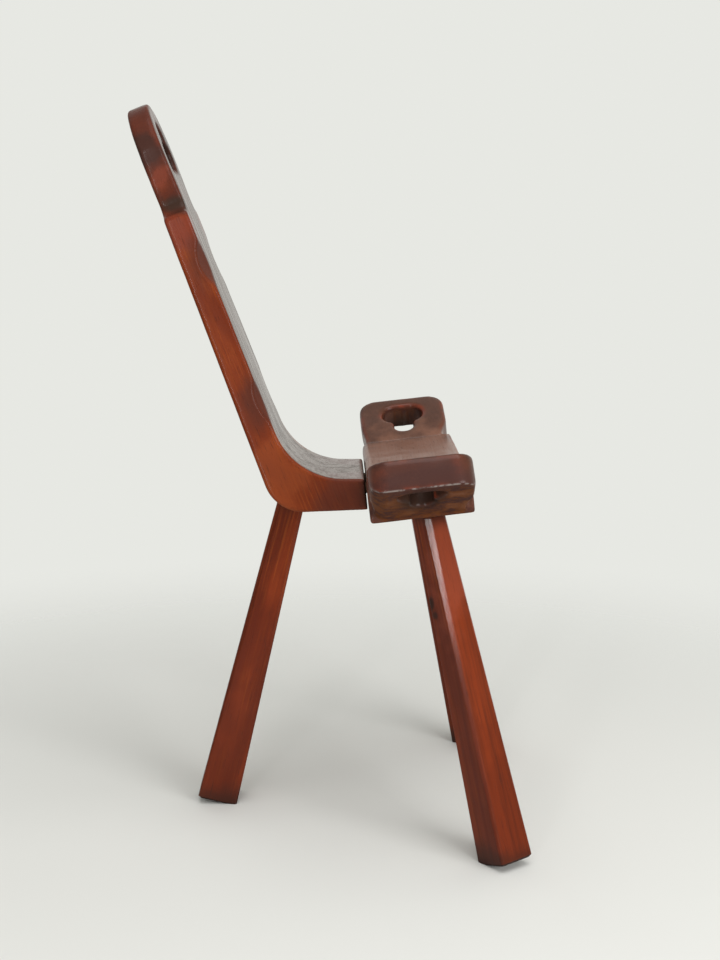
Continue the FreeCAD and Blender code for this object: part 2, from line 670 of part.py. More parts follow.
def build_dowels():
    """Two dowels across the joint between plank and yoke."""
    rods = []
    for name, sign in (("right", "-"), ("left", "")):
        rod = doc.addObject("Part::Cylinder", f"dowel_{name}")
        rod.setExpression("Radius", bound("dowel_r"))
        rod.setExpression("Height", bound("dowel_half * 2"))
        lie = place("-dowel_half", f"{sign}dowel_side", "0", turn("y", "90"))
        rod.setExpression("Placement", bound(f"{JOINT} * {lie}"))
        rods.append(rod)
    group = doc.addObject("Part::Compound", "seat_dowels")
    group.Label = "seat_dowels"
    group.Links = rods
    doc.recompute()
    return group


JOINT = place("joint_x", "0", "joint_z", turn("y", "-seat_tilt"))
YOKE = f"{JOINT} * {place('(yoke_deep + joint_gap) / 2', '0', '-yoke_drop')}"
REAR_LEG = place("rear_x", "0", "rear_z", turn("y", "rear_splay"))

sheet = write_sizes()
nodes = [
    build_plank(),
    build_yoke(),
    build_rear_leg(),
    build_front_leg("front_leg_right", -1),
    build_front_leg("front_leg_left", 1),
    build_dowels(),
]
doc.recompute()
for item in doc.Objects:
    if "Invalid" in item.State or "Error" in item.State:
        raise RuntimeError(f"{item.Name} did not build: {item.State}")
for node in nodes:
    if node.Shape.isNull() or not node.Shape.isValid():
        raise RuntimeError(f"{node.Label} has no valid shape")
os.makedirs("parts", exist_ok=True)
for node in nodes:
    node.Shape.exportStep(f"parts/{node.Label}.step")
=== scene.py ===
import logging
import math
from dataclasses import dataclass
from enum import Enum

import bmesh
import bpy
import numpy as np
from mathutils import Euler, Matrix, Vector, noise


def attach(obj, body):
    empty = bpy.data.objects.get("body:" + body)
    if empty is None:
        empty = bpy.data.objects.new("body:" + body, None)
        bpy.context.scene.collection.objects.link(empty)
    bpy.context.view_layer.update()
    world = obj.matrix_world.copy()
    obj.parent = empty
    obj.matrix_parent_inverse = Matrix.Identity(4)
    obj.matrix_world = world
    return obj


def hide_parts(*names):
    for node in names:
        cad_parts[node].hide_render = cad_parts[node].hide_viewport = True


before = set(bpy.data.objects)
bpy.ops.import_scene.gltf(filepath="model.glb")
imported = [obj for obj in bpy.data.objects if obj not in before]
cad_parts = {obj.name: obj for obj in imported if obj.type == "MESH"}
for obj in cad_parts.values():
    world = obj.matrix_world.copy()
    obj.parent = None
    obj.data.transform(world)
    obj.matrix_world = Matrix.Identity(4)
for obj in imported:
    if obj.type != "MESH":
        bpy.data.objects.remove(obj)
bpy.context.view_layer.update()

Colour = tuple[float, float, float]
Place = tuple[float, float, float]
Step = tuple[float, float]

LOG = logging.getLogger("chair")
BODY = "root"
# Mesh attribute that says how much of the surface was rubbed off.
RUBBED = "rubbed"
# Degrees that the back leans and the yoke tilts.
BACK_LEAN = 21.25
SEAT_TILT = 6.5
# Height of the seat in metres.
SEAT_HEIGHT = 0.4
# Way that the faces of seat and back look in, on the whole.
SEAT_WAY = (0.6, 0.0, 0.8)
# Degrees that a camera is turned by when it looks straight ahead.
LEVEL = 90.0
# Mean of a noise that runs from 0 to 1.
NOISE_MIDDLE = 0.5
# Share of a region's reach within which it is rubbed in full.
RUB_CORE = 0.5
# Shares of a region's reach between which its stain fades.
STAIN_RIM: Step = (0.45, 1.0)
# Places of a Mix node's sockets for colours.
MIX_SHARE = 0
MIX_FIRST = 6
MIX_SECOND = 7
MIX_RESULT = 2


def solid_colour(colour: Colour) -> tuple[float, float, float, float]:
    """Returns the colour with full cover."""
    return (*colour, 1.0)


class Value:
    """A shader socket that takes part in arithmetic: each operation adds a Math node."""

    def __init__(self, recipe: "Recipe", socket: bpy.types.NodeSocket) -> None:
        """Keeps the socket and the recipe that it belongs to."""
        self.recipe = recipe
        self.socket = socket

    def _with(self, operation: str, first: "Value | float", second: "Value | float") -> "Value":
        """Returns the result of one Math node."""
        return self.recipe.add("ShaderNodeMath", {"operation": operation}, {0: first, 1: second})

    def __add__(self, other: "Value | float") -> "Value":
        """Returns self + other."""
        return self._with("ADD", self, other)

    def __radd__(self, other: float) -> "Value":
        """Returns other + self."""
        return self._with("ADD", other, self)

    def __sub__(self, other: "Value | float") -> "Value":
        """Returns self - other."""
        return self._with("SUBTRACT", self, other)

    def __rsub__(self, other: float) -> "Value":
        """Returns other - self."""
        return self._with("SUBTRACT", other, self)

    def __mul__(self, other: "Value | float") -> "Value":
        """Returns self * other."""
        return self._with("MULTIPLY", self, other)

    def __rmul__(self, other: float) -> "Value":
        """Returns other * self."""
        return self._with("MULTIPLY", other, self)

    def __neg__(self) -> "Value":
        """Returns 0 - self."""
        return self._with("SUBTRACT", 0.0, self)

    def __abs__(self) -> "Value":
        """Returns self without its sign."""
        return self.recipe.add("ShaderNodeMath", {"operation": "ABSOLUTE"}, {0: self})


@dataclass(frozen=True)
class Clouds:
    """Noise that is stretched along the axes.

    scale is in patches per metre, and detail is how many finer layers it has.
    """

    scale: Place
    detail: float = 2.0


class Recipe:
    """The node tree of a material or of the sky, written as expressions."""

    def __init__(self, owner: bpy.types.Material | bpy.types.World) -> None:
        """Empties the owner's node tree.

        Args:
            owner: the material or sky that the recipe is for.
        """
        owner.use_nodes = True
        self.owner = owner
        self.tree = owner.node_tree
        self.tree.nodes.clear()

    def add(
        self,
        kind: str,
        settings: dict[str, object] | None = None,
        sockets: dict[str | int, object] | None = None,
        output: str | int = 0,
    ) -> Value:
        """Adds one node.

        Args:
            kind: the node's type.
            settings: the node's own settings, set first.
            sockets: numbers, colours or Values by input name or place.
            output: name or place of the wanted output.

        Returns:
            The wanted output.
        """
        node = self.tree.nodes.new(kind)
        for key, value in (settings or {}).items():
            setattr(node, key, value)
        for key, value in (sockets or {}).items():
            if isinstance(value, Value):
                self.tree.links.new(value.socket, node.inputs[key])
            else:
                node.inputs[key].default_value = value
        return Value(self, node.outputs[output])

    def vector(self, operation: str, first: Value, second: Value | Place) -> Value:
        """Returns the vector that one Vector Math node makes of two."""
        return self.add("ShaderNodeVectorMath", {"operation": operation}, {0: first, 1: second})

    def length(self, vector: Value) -> Value:
        """Returns the length of a vector."""
        return self.add("ShaderNodeVectorMath", {"operation": "LENGTH"}, {0: vector}, "Value")

    def dot(self, first: Value, second: Value | Place) -> Value:
        """Returns the dot product of two vectors."""
        settings = {"operation": "DOT_PRODUCT"}
        return self.add("ShaderNodeVectorMath", settings, {0: first, 1: second}, "Value")

    def part(self, vector: Value, axis: str) -> Value:
        """Returns one part, "X", "Y" or "Z", of a vector."""
        return self.add("ShaderNodeSeparateXYZ", None, {"Vector": vector}, axis)

    def mix(self, share: Value, first: Value | Colour, second: Value | Colour) -> Value:
        """Mixes two colours.

        Args:
            share: 0 gives the first and 1 the second.
            first: colour or Value.
            second: colour or Value.

        Returns:
            The mixed colour.
        """
        paints = [solid_colour(item) if isinstance(item, tuple) else item for item in (first, second)]
        settings = {"data_type": "RGBA", "clamp_factor": True}
        sockets = {MIX_SHARE: share, MIX_FIRST: paints[0], MIX_SECOND: paints[1]}
        return self.add("ShaderNodeMix", settings, sockets, MIX_RESULT)

    def fade(self, value: Value, step: Step) -> Value:
        """Adds a smooth step.

        Args:
            value: what is looked at.
            step: the values at which the result is 0 and 1.

        Returns:
            A number from 0 to 1.
        """
        low, high = step
        settings = {"interpolation_type": "SMOOTHSTEP"}
        sockets = {"Value": value, "From Min": low, "From Max": high}
        return self.add("ShaderNodeMapRange", settings, sockets)

    def clouds(self, where: Value, kind: Clouds) -> Value:
        """Adds noise.

        Args:
            where: the points that it is looked up at.
            kind: its stretch and detail.

        Returns:
            A number about NOISE_MIDDLE.
        """
        stretched = self.vector("MULTIPLY", where, kind.scale)
        sockets = {"Vector": stretched, "Scale": 1.0, "Detail": kind.detail}
        return self.add("ShaderNodeTexNoise", None, sockets)

    def finish(self, shader: Value) -> None:
        """Joins a shader to the surface of the material or sky.

        Args:
            shader: the shader.
        """
        kind = "World" if isinstance(self.owner, bpy.types.World) else "Material"
        node = self.tree.nodes.new(f"ShaderNodeOutput{kind}")
        self.tree.links.new(shader.socket, node.inputs["Surface"])


@dataclass(frozen=True)
class Region:
    """An egg-shaped stretch of the chair, the same on both sides of Y = 0.

    ragged is how uneven its rim is as a stain.
    """

    middle: Place
    reach: Place
    ragged: float = 0.5

    def weights(self, points: np.ndarray) -> np.ndarray:
        """Weighs points by how deep they lie in the region.

        Args:
            points: places in rows.

        Returns:
            1 in the region's core, fading to 0 at its rim.
        """
        mirrored = points.copy()
        mirrored[:, 1] = np.abs(mirrored[:, 1])
        away = np.linalg.norm((mirrored - np.array(self.middle)) / np.array(self.reach), axis=1)
        return np.clip((1.0 - away) / (1.0 - RUB_CORE), 0.0, 1.0)

    def cover(self, recipe: Recipe, mirrored: Value, patches: Value) -> Value:
        """Adds the region to a recipe.

        Args:
            recipe: the material's recipe.
            mirrored: point on the surface with the sign of Y taken off.
            patches: noise that makes the rim uneven.

        Returns:
            1 in the middle, fading to 0 at the rim.
        """
        away = recipe.vector("DIVIDE", recipe.vector("SUBTRACT", mirrored, self.middle), self.reach)
        uneven = recipe.length(away) + (patches - NOISE_MIDDLE) * (self.ragged / NOISE_MIDDLE)
        return 1.0 - recipe.fade(uneven, STAIN_RIM)


@dataclass(frozen=True)
class Stain:
    """A region that took more stain, dirt or rubbing than the rest, or that holds painted shade or a
    painted sheen.
    """

    region: Region
    paint: Colour
    share: float

    def over(self, recipe: Recipe, colour: Value, mirrored: Value, patches: Value) -> Value:
        """Lays the stain over a colour.

        Args:
            recipe: the material's recipe.
            colour: the colour below.
            mirrored: point on the surface with the sign of Y taken off.
            patches: noise that makes the stain's rim uneven.

        Returns:
            The stained colour.
        """
        cover = self.region.cover(recipe, mirrored, patches)
        return recipe.mix(cover * self.share, colour, self.paint)


@dataclass(frozen=True)
class Rub:
    """A region whose edges were rubbed round.

    rounds is how often its surface is evened out.
    """

    region: Region
    rounds: int


class Cut(Enum):
    """How the growth layers lie in a piece."""

    FLAT = "flat layers"
    ROUND = "rings round a heart beside the piece"


@dataclass(frozen=True)
class Grain:
    """Where the fibres of one piece run: x of the turned frame lies along them."""

    start: Place
    along: Place
    sideways: Place = (0.0, 1.0, 0.0)
    cut: Cut = Cut.ROUND
    heart: tuple[float, float] = (0.05, 0.03)

    def turn(self) -> Euler:
        """Works out how the grain lies.

        Returns:
            The turn from the row's axes to the grain's axes.
        """
        along = Vector(self.along).normalized()
        third = along.cross(Vector(self.sideways)).normalized()
        second = third.cross(along)
        return Matrix((along, second, third)).transposed().to_euler()

    def layer(self, recipe: Recipe, lie: Value) -> Value:
        """Adds the distance across the growth layers.

        Args:
            recipe: the material's recipe.
            lie: point in the grain's axes.

        Returns:
            The distance in metres.
        """
        if self.cut is Cut.FLAT:
            return recipe.part(lie, "Y")
        from_heart = recipe.vector("SUBTRACT", lie, (0.0, *self.heart))
        flat = recipe.vector("MULTIPLY", from_heart, (0.0, 1.0, 1.0))
        return recipe.length(flat)


class Pattern:
    """Noise of one piece of wood: patches, mottling, growth layers, fibres, streaks and pores."""

    PATCHES = Clouds((38.0, 38.0, 38.0), 4.0)
    SCRATCHES = Clouds((160.0, 160.0, 160.0), 4.0)
    MOTTLE = Clouds((7.0, 17.0, 17.0), 4.0)
    SWAY = Clouds((2.5, 9.0, 9.0))
    GROWTH = Clouds((1.0, 1.0, 1.0), 3.0)
    FIBRES = Clouds((11.0, 420.0, 420.0), 3.0)
    STREAKS = Clouds((3.0, 95.0, 95.0), 4.0)
    PORES = Clouds((42.0, 1300.0, 1300.0))
    GROWTH_STEP: Step = (0.4, 0.62)
    STREAK_STEP: Step = (0.4, 0.64)
    PORE_STEP: Step = (0.6, 0.72)
    # How far the layers sway, in metres, and how often they change along the grain.
    SWAY_WIDTH = 0.02
    LAYER_CHANGES = 0.8

    def __init__(self, recipe: Recipe, spot: Value, grain: Grain, layers: float) -> None:
        """Adds the noise to a recipe.

        Args:
            recipe: the material's recipe.
            spot: point on the surface.
            grain: the piece's grain.
            layers: growth layers per metre.
        """
        turned = {"Vector": spot, "Location": grain.start, "Rotation": grain.turn()}
        lie = recipe.add("ShaderNodeMapping", {"vector_type": "TEXTURE"}, turned)
        sway = (recipe.clouds(lie, self.SWAY) - NOISE_MIDDLE) * self.SWAY_WIDTH
        along = recipe.part(lie, "X") * self.LAYER_CHANGES
        across = (grain.layer(recipe, lie) + sway) * layers
        layer = recipe.add("ShaderNodeCombineXYZ", None, {"X": along, "Y": across})
        self.patches = recipe.clouds(spot, self.PATCHES)
        self.scratches = recipe.clouds(spot, self.SCRATCHES)
        self.mottle = recipe.clouds(lie, self.MOTTLE)
        self.growth = recipe.fade(recipe.clouds(layer, self.GROWTH), self.GROWTH_STEP)
        self.fibre = recipe.clouds(lie, self.FIBRES)
        self.streaks = recipe.fade(recipe.clouds(lie, self.STREAKS), self.STREAK_STEP)
        self.pores = recipe.fade(recipe.clouds(lie, self.PORES), self.PORE_STEP)


class Masks:
    """Where on a piece each thing happens, from 0 for not at all to 1 for fully."""

    EDGE_WIDTH = 0.004
    EDGE_SAMPLES = 4
    EDGE_STEP: Step = (0.015, 0.2)
    # Reach, samples and step of the ambient occlusion that darkens hollows: painted shade, standing also
    # for dirt.
    HOLLOW_REACH = 0.03
    HOLLOW_SAMPLES = 6
    HOLLOW_SHADE_STEP: Step = (0.15, 0.55)
    # Step of the normal's downward part.
    BELOW_STEP: Step = (0.15, 0.75)
    # Steps of its upward part.
    UPPER_STEP: Step = (-0.35, 0.2)
    LOW_STEP: Step = (-0.85, -0.45)
    # Step of its part along SEAT_WAY.
    FACED_STEP: Step = (0.4, 0.62)
    # Widths over which sideways faces and the outer part set in.
    SQUARE_FADE = 0.15
    OUTER_FADE = 0.01

    def __init__(self, recipe: Recipe, spot: Value, square_on: float, outer_from: float) -> None:
        """Adds the masks to a recipe.

        Args:
            recipe: the material's recipe.
            spot: point on the surface.
            square_on: sideways part of the normal up to which a face is sat on or leaned on.
            outer_from: distance from the middle plane at which the outer part starts.
        """
        normal = recipe.add("ShaderNodeNewGeometry", output="Normal")
        soft = recipe.add("ShaderNodeBevel", {"samples": self.EDGE_SAMPLES}, {"Radius": self.EDGE_WIDTH})
        near = {"Distance": self.HOLLOW_REACH}
        clear = recipe.add("ShaderNodeAmbientOcclusion", {"samples": self.HOLLOW_SAMPLES}, near, "AO")
        up = recipe.part(normal, "Z")
        sideways = abs(recipe.part(normal, "Y"))
        outward = abs(recipe.part(spot, "Y"))
        square = 1.0 - recipe.fade(sideways, (square_on, square_on + self.SQUARE_FADE))
        self.edge = recipe.fade(1.0 - recipe.dot(normal, soft), self.EDGE_STEP)
        self.rubbed = recipe.add("ShaderNodeAttribute", {"attribute_name": RUBBED}, None, "Fac")
        self.turned = recipe.add("ShaderNodeMath", {"operation": "MAXIMUM"}, {0: self.edge, 1: self.rubbed})
        # Painted shade and dirt in hollows: darker where ambient occlusion finds surfaces close by.
        self.hollow_shade_and_grime = recipe.fade(1.0 - clear, self.HOLLOW_SHADE_STEP)
        self.below = recipe.fade(-up, self.BELOW_STEP)
        self.upper = recipe.fade(up, self.UPPER_STEP)
        self.not_flat_below = recipe.fade(up, self.LOW_STEP)
        self.faced = recipe.fade(recipe.dot(normal, SEAT_WAY), self.FACED_STEP) * square
        self.outer = recipe.fade(outward, (outer_from, outer_from + self.OUTER_FADE))
        mirrored = {"X": recipe.part(spot, "X"), "Y": outward, "Z": recipe.part(spot, "Z")}
        self.mirrored = recipe.add("ShaderNodeCombineXYZ", None, mirrored)


@dataclass(frozen=True)
class Marks:
    """How strongly the pattern and the masks show in a wood's colour, varnish and bumps."""

    # Shares of the colours that are mixed in.
    growth: float = 0.75
    pale: float = 0.5
    mottle: float = 0.7
    seat_streaks: float = 0.4
    seat_fibres: float = 0.4
    # Underside colour: bare wood, tinted in part as painted warm bounce light from below.
    underside_share: float = 0.9
    underside_patches: float = 0.6
    underside_scratches: float = 0.4
    pores: float = 0.45
    # Noise at which each of them starts and is full.
    pale_step: Step = (0.48, 0.8)
    mottle_step: Step = (0.46, 0.66)
    seat_step: Step = (0.45, 0.7)
    underside_step: Step = (0.42, 0.6)
    worn_step: Step = (0.4, 0.62)
    scuff_and_glint_step: Step = (0.4, 0.6)
    # Roughness that is added.
    rough_fibres: float = 0.25
    rough_mottle: float = 0.25
    rough_pores: float = 0.15
    rough_bare: float = 0.35
    rough_edges: float = 0.3
    # Shares of the varnish that are missing.
    matt_rounded: float = 0.85
    matt_fibres: float = 0.4
    matt_streaks: float = 0.36
    matt_step: Step = (0.42, 0.66)
    # Heights relative to each other, and the height of them all.
    high_fibres: float = 0.5
    high_growth: float = 0.25
    deep_pores: float = 0.4
    high_patches: float = 0.6
    bump_strength: float = 0.3
    bump_height: float = 0.0006
    soft_samples: int = 6


@dataclass(frozen=True)
class StainedWood:
    """Stained and varnished wood with fibres, growth layers, worn edges, and dirt with painted shade in
    hollows.

    side_coat is the share of the varnish on faces that aren't sat on or leaned on.
    line_depth is how strongly fibres and streaks show.
    soft_edge is the radius that edges are shaded with, in metres.
    square_on is the sideways part of a normal from which a face isn't sat on, with no limit above 1.
    layers is how many growth layers there are per metre.
    scuff_and_glint_beyond is the distance from the middle plane at which scuffing and painted glints start.
    bare_under is how much varnish the underside lacks.
    """

    name: str
    deep: Colour
    body: Colour
    pale: Colour
    worn: Colour
    # Colour of dirt in pores and in the lines on the seat, and of the painted shade in hollows.
    grime_and_shade: Colour
    # Underside colour: bare wood, partly painted warm bounce light from below.
    under: Colour
    sat_on: Colour
    # Pale grey of scuffing on worn edges, which also paints a highlight line along them.
    scuff_and_glint: Colour = (0.34, 0.30, 0.275)
    roughness: float = 0.36
    shine: float = 0.2
    coat: float = 0.4
    coat_rough: float = 0.16
    side_coat: float = 0.5
    line_depth: float = 1.0
    soft_edge: float = 0.0016
    square_on: float = 2.0
    layers: float = 120.0
    wear: float = 0.5
    scuff_and_glint_share: float = 0.0
    scuff_and_glint_beyond: float = 0.0
    matt_edges: float = 1.0
    bare_under: float = 0.6
    marks: Marks = Marks()

    def material(self, node: str, grain: Grain, stains: tuple[Stain, ...]) -> bpy.types.Material:
        """Builds the material for one piece.

        Args:
            node: the piece's name.
            grain: the piece's grain.
            stains: regions that look different.

        Returns:
            The material.
        """
        paint = bpy.data.materials.new(f"{self.name}_{node}")
        recipe = Recipe(paint)
        spot = recipe.add("ShaderNodeTexCoord", output="Object")
        pattern = Pattern(recipe, spot, grain, self.layers)
        masks = Masks(recipe, spot, self.square_on, self.scuff_and_glint_beyond)
        colour = self._fresh_colour(recipe, pattern, masks)
        for stain in stains:
            colour = stain.over(recipe, colour, masks.mirrored, pattern.patches)
        sockets = {
            "Base Color": self._used_colour(recipe, pattern, masks, colour),
            "Roughness": self._rough(pattern, masks),
            "Specular IOR Level": self.shine,
            "Coat Weight": self._varnish(recipe, pattern, masks),
            "Coat Roughness": self.coat_rough,
            "Normal": self._bumps(recipe, pattern),
        }
        recipe.finish(recipe.add("ShaderNodeBsdfPrincipled", None, sockets))
        return paint

    def _fresh_colour(self, recipe: Recipe, pattern: Pattern, masks: Masks) -> Value:
        """Adds the colour of the wood, its seat and its underside, whose tint is partly painted warm bounce
        light.

        Args:
            recipe: the material's recipe.
            pattern: the wood's noise.
            masks: the piece's masks.

        Returns:
            The colour below stains and wear.
        """
        marks = self.marks
        fine = recipe.fade(pattern.fibre, marks.pale_step)
        blotches = recipe.fade(pattern.mottle, marks.mottle_step)
        colour = recipe.mix(pattern.growth * marks.growth, self.body, self.deep)
        colour = recipe.mix(fine * marks.pale, colour, self.pale)
        colour = recipe.mix(blotches * marks.mottle, colour, self.deep)
        seat_fibres = recipe.fade(pattern.fibre, marks.seat_step) * marks.seat_fibres
        seat_lines = (pattern.streaks * marks.seat_streaks + seat_fibres) * self.line_depth
        colour = recipe.mix(masks.faced, colour, recipe.mix(seat_lines, self.sat_on, self.grime_and_shade))
        # Faces that look down get the underside colour: bare wood, partly painted warm bounce light.
        uneven = pattern.patches * marks.underside_patches + pattern.scratches * marks.underside_scratches
        bare_and_bounce_tone = recipe.mix(recipe.fade(uneven, marks.underside_step), self.under, self.deep)
        return recipe.mix(masks.below * marks.underside_share, colour, bare_and_bounce_tone)

    def _used_colour(self, recipe: Recipe, pattern: Pattern, masks: Masks, colour: Value) -> Value:
        """Adds rubbed edges, scuffing with painted glints, pores, and dirt with painted shade in hollows.

        Args:
            recipe: the material's recipe.
            pattern: the wood's noise.
            masks: the piece's masks.
            colour: the stained colour.

        Returns:
            The colour that shows.
        """
        marks = self.marks
        worn_patches = recipe.fade(pattern.patches, marks.worn_step)
        worn = (masks.edge + masks.rubbed) * masks.upper * worn_patches * self.wear
        colour = recipe.mix(worn, colour, self.worn)
        # Pale marks on the low outer edges: partly scuffing, partly a painted highlight line.
        low_edge = masks.turned * (1.0 - masks.upper) * masks.not_flat_below
        scuff_and_glint_marks = low_edge * masks.outer * recipe.fade(pattern.scratches, marks.scuff_and_glint_step) * self.scuff_and_glint_share
        colour = recipe.mix(scuff_and_glint_marks, colour, self.scuff_and_glint)
        colour = recipe.mix(pattern.pores * marks.pores, colour, self.grime_and_shade)
        # Darkens hollows as painted shade and dirt.
        return recipe.mix(masks.hollow_shade_and_grime, colour, self.grime_and_shade)

    def _rough(self, pattern: Pattern, masks: Masks) -> Value:
        """Adds the roughness, which fibres, pores, bare wood and edges raise.

        Args:
            pattern: the wood's noise.
            masks: the piece's masks.

        Returns:
            The roughness.
        """
        marks = self.marks
        bare = masks.below * self.bare_under
        rounded = masks.turned * self.matt_edges
        dull = bare * marks.rough_bare + rounded * marks.rough_edges
        fibres = (pattern.fibre - NOISE_MIDDLE) * marks.rough_fibres
        mottle = (pattern.mottle - NOISE_MIDDLE) * marks.rough_mottle
        return fibres + mottle + pattern.pores * marks.rough_pores + dull + self.roughness

    def _varnish(self, recipe: Recipe, pattern: Pattern, masks: Masks) -> Value:
        """Adds the varnish, thinner on sides, edges, fibres and streaks.

        Args:
            recipe: the material's recipe.
            pattern: the wood's noise.
            masks: the piece's masks.

        Returns:
            The weight of the coat.
        """
        marks = self.marks
        bare = masks.below * self.bare_under
        rounded = masks.turned * self.matt_edges
        faces = masks.faced * (1.0 - self.side_coat) + self.side_coat
        polish = faces * (1.0 - rounded * marks.matt_rounded)
        matt_fibres = recipe.fade(pattern.fibre, marks.matt_step) * marks.matt_fibres
        matt_streaks = pattern.streaks * masks.faced * marks.matt_streaks
        lines = 1.0 - (matt_fibres + matt_streaks) * self.line_depth
        return lines * polish * (1.0 - bare) * self.coat

    def _bumps(self, recipe: Recipe, pattern: Pattern) -> Value:
        """Adds fine bumps over edges that are shaded soft.

        Args:
            recipe: the material's recipe.
            pattern: the wood's noise.

        Returns:
            The normal.
        """
        marks = self.marks
        ridges = pattern.fibre * marks.high_fibres + pattern.growth * marks.high_growth
        lines = (ridges - pattern.pores * marks.deep_pores) * self.line_depth
        soft = recipe.add("ShaderNodeBevel", {"samples": marks.soft_samples}, {"Radius": self.soft_edge})
        sockets = {
            "Strength": marks.bump_strength,
            "Distance": marks.bump_height,
            "Height": lines + pattern.patches * marks.high_patches,
            "Normal": soft,
        }
        return recipe.add("ShaderNodeBump", None, sockets)


@dataclass
class WoodPiece:
    """One wooden piece of the chair, shown by its own solid."""

    node: str
    finish: StainedWood
    stains: tuple[Stain, ...] = ()

    def grain(self) -> Grain:
        """Returns the piece's grain, upright unless a kind of piece says otherwise."""
        return Grain(start=(0.0, 0.0, 0.0), along=(0.0, 0.0, 1.0))

    def build(self) -> bpy.types.Object:
        """Returns the object that shows the piece."""
        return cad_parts[self.node]

    def dress(self) -> None:
        """Builds the piece and gives it its finish."""
        piece = self.build()
        piece.data.materials.clear()
        piece.data.materials.append(self.finish.material(self.node, self.grain(), self.stains))
        LOG.info("dressed %s", self.node)


@dataclass
class WornPiece(WoodPiece):
    """A piece shown by a copy of its solid with rubbed edges and shallow dents.

    lean turns the copy's even faces to lie along the solid's, in degrees.
    rounds is how often the whole surface is evened out, and pull how far each round goes.
    rub_depth is the depth from which a spot counts as fully rubbed, in metres.
    """

    slot: str = ""
    lean: float = 0.0
    merge: float = 1e-5
    voxel: float = 0.0016
    rounds: int = 5
    pull: float = 0.5
    rubs: tuple[Rub, ...] = ()
    rub_depth: float = 0.0012
    dent: float = 0.0005
    dents_per_metre: float = 45.0

    def build(self) -> bpy.types.Object:
        """Copies the solid, evens its mesh, rubs it and lets the copy stand for the node.

        Returns:
            The copy.
        """
        mesh = self._even_mesh()
        self._rub(mesh)
        self._dent(mesh)
        mesh.polygons.foreach_set("use_smooth", [True] * len(mesh.polygons))
        piece = bpy.data.objects.new(f"worn_{self.node}", mesh)
        bpy.context.scene.collection.objects.link(piece)
        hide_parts(self.node)
        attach(piece, BODY)
        return piece

    def _even_mesh(self) -> bpy.types.Mesh:
        """Covers the solid with even small faces, laid out along its leaning faces.

        Returns:
            The new mesh.
        """
        upright = Matrix.Rotation(math.radians(self.lean), 4, "Y")
        shape = bmesh.new()
        shape.from_mesh(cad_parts[self.node].data)
        shape.transform(upright)
        bmesh.ops.remove_doubles(shape, verts=shape.verts, dist=self.merge)
        rough = bpy.data.meshes.new(f"{self.node}_closed")
        shape.to_mesh(rough)
        shape.free()
        holder = bpy.data.objects.new(f"{self.node}_closed", rough)
        bpy.context.scene.collection.objects.link(holder)
        remesh = holder.modifiers.new("even", "REMESH")
        remesh.mode = "VOXEL"
        remesh.voxel_size = self.voxel
        shown = holder.evaluated_get(bpy.context.evaluated_depsgraph_get())
        mesh = bpy.data.meshes.new_from_object(shown)
        mesh.transform(upright.inverted())
        bpy.data.objects.remove(holder)
        bpy.data.meshes.remove(rough)
        return mesh

    @staticmethod
    def _rows(mesh: bpy.types.Mesh, key: str) -> np.ndarray:
        """Reads a mesh's points.

        Args:
            mesh: the mesh.
            key: "co" for the points' places, "normal" for their normals.

        Returns:
            One row of three numbers for each point.
        """
        flat = np.empty(len(mesh.vertices) * 3)
        mesh.vertices.foreach_get(key, flat)
        return flat.reshape(-1, 3)

    def _rub(self, mesh: bpy.types.Mesh) -> None:
        """Evens out the surface, most where it was rubbed, and marks what was lost.

        Args:
            mesh: the mesh that is changed.
        """
        points = self._rows(mesh, "co")
        before = points.copy()
        normals = self._rows(mesh, "normal")
        edges = np.empty(len(mesh.edges) * 2, dtype=np.int64)
        mesh.edges.foreach_get("vertices", edges)
        first, second = edges.reshape(-1, 2).T
        size = len(points)
        neighbours = np.bincount(edges, minlength=size)
        wanted = np.full(size, float(self.rounds))
        for rub in self.rubs:
            wanted = np.maximum(wanted, rub.region.weights(points) * rub.rounds)
        for done in range(math.ceil(wanted.max())):
            share = np.clip(wanted - done, 0.0, 1.0) * self.pull
            for axis in range(3):
                line = points[:, axis]
                total = np.bincount(first, line[second], size) + np.bincount(second, line[first], size)
                points[:, axis] = line + (total / neighbours - line) * share
        mesh.vertices.foreach_set("co", points.ravel())
        mesh.update()
        lost = np.einsum("ij,ij->i", before - points, normals) / self.rub_depth
        marks = mesh.attributes.new(RUBBED, "FLOAT", "POINT")
        marks.data.foreach_set("value", np.clip(lost, 0.0, 1.0))

    def _dent(self, mesh: bpy.types.Mesh) -> None:
        """Sinks the surface by a shallow, uneven depth.

        Args:
            mesh: the mesh that is changed.
        """
        points = self._rows(mesh, "co")
        normals = self._rows(mesh, "normal")
        waves = np.array([noise.noise(Vector(point)) for point in points * self.dents_per_metre])
        # The waves run from -1 to 1 and the shares from 0 to 1.
        shares = 0.5 + 0.5 * waves[:, None]
        points -= normals * (self.dent * shares)
        mesh.vertices.foreach_set("co", points.ravel())
        mesh.update()


@dataclass
class BackPlank(WornPiece):
    """Head, back, bend and rear half of the seat, sawn from one plank."""

    def grain(self) -> Grain:
        """Lays the grain along the back.

        Returns:
            Fibres up the back, with flat layers across its width.
        """
        lean = math.radians(BACK_LEAN)
        up_the_back = (-math.sin(lean), 0.0, math.cos(lean))
        return Grain(start=(0.0, 0.0, SEAT_HEIGHT), along=up_the_back, cut=Cut.FLAT)


@dataclass
class SeatYoke(WornPiece):
    """Front half of the seat with both raised wings."""

    def grain(self) -> Grain:
        """Lays the grain across the chair.

        Returns:
            Fibres from wing to wing, with the heart below the yoke.
        """
        return Grain(
            start=(0.1, 0.0, 0.38),
            along=(0.0, 1.0, 0.0),
            sideways=(0.0, 0.0, 1.0),
            heart=(-0.12, 0.02),
        )


